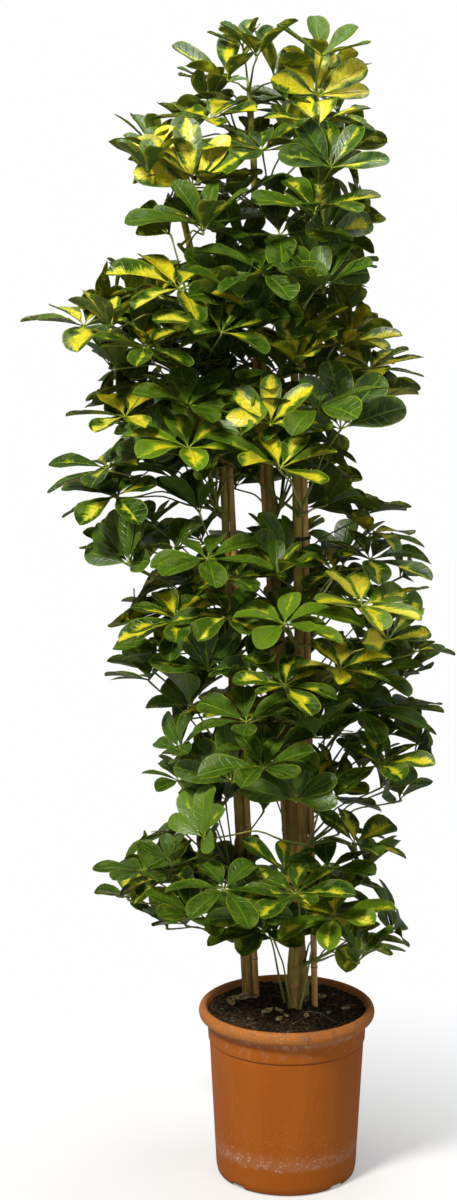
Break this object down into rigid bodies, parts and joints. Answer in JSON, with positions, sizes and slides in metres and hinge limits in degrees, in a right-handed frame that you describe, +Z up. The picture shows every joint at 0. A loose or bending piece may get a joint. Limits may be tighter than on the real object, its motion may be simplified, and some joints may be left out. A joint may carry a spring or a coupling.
{
  "type": "potted umbrella plant",
  "caption": "Tall variegated umbrella plant on bamboo canes in a round nursery pot with a rolled rim, filled with soil; a floor-standing houseplant.",
  "frame": {"origin": "middle of the pot's foot, on the floor", "axes": "+Z up along the pot's axis; the pictured side faces -Y, with +X to its right"},
  "size_m": [0.6318, 0.5153, 1.7157],
  "materials": {
    "terracotta_plastic": "matt",
    "soil": "crumbly and matt",
    "bamboo": "smooth, half matt",
    "bark": "rough",
    "foliage": "glossy upper side",
    "tie": "matt"
  },
  "bodies": {
    "root": {"pot": "terracotta_plastic", "soil": "soil", "cane_left": "bamboo", "cane_middle": "bamboo", "cane_right": "bamboo", "stem_left": "bark", "stem_middle": "bark", "stem_right": "bark", "tie_left": "tie", "tie_middle": "tie", "tie_right": "tie", "spray_left_back_1": "foliage", "spray_left_back_3": "foliage", "spray_left_back_4": "foliage", "spray_left_front_1": "foliage", "spray_left_front_10": "foliage", "spray_left_front_11": "foliage", "spray_left_front_2": "foliage", "spray_left_front_3": "foliage", "spray_left_front_4": "foliage", "spray_left_front_5": "foliage", "spray_left_front_6": "foliage", "spray_left_front_7": "foliage", "spray_left_front_8": "foliage", "spray_left_front_9": "foliage", "spray_middle_back_1": "foliage", "spray_middle_back_10": "foliage", "spray_middle_back_2": "foliage", "spray_middle_back_3": "foliage", "spray_middle_back_4": "foliage", "spray_middle_back_5": "foliage", "spray_middle_back_6": "foliage", "spray_middle_back_7": "foliage", "spray_middle_back_8": "foliage", "spray_middle_back_9": "foliage", "spray_middle_front_1": "foliage", "spray_middle_front_2": "foliage", "spray_middle_front_3": "foliage", "spray_right_back_2": "foliage", "spray_right_back_3": "foliage", "spray_right_back_5": "foliage", "spray_right_front_1": "foliage", "spray_right_front_10": "foliage", "spray_right_front_11": "foliage", "spray_right_front_12": "foliage", "spray_right_front_13": "foliage", "spray_right_front_14": "foliage", "spray_right_front_2": "foliage", "spray_right_front_3": "foliage", "spray_right_front_4": "foliage", "spray_right_front_5": "foliage", "spray_right_front_6": "foliage", "spray_right_front_7": "foliage", "spray_right_front_8": "foliage", "spray_right_front_9": "foliage"}
  },
  "joints": []
}
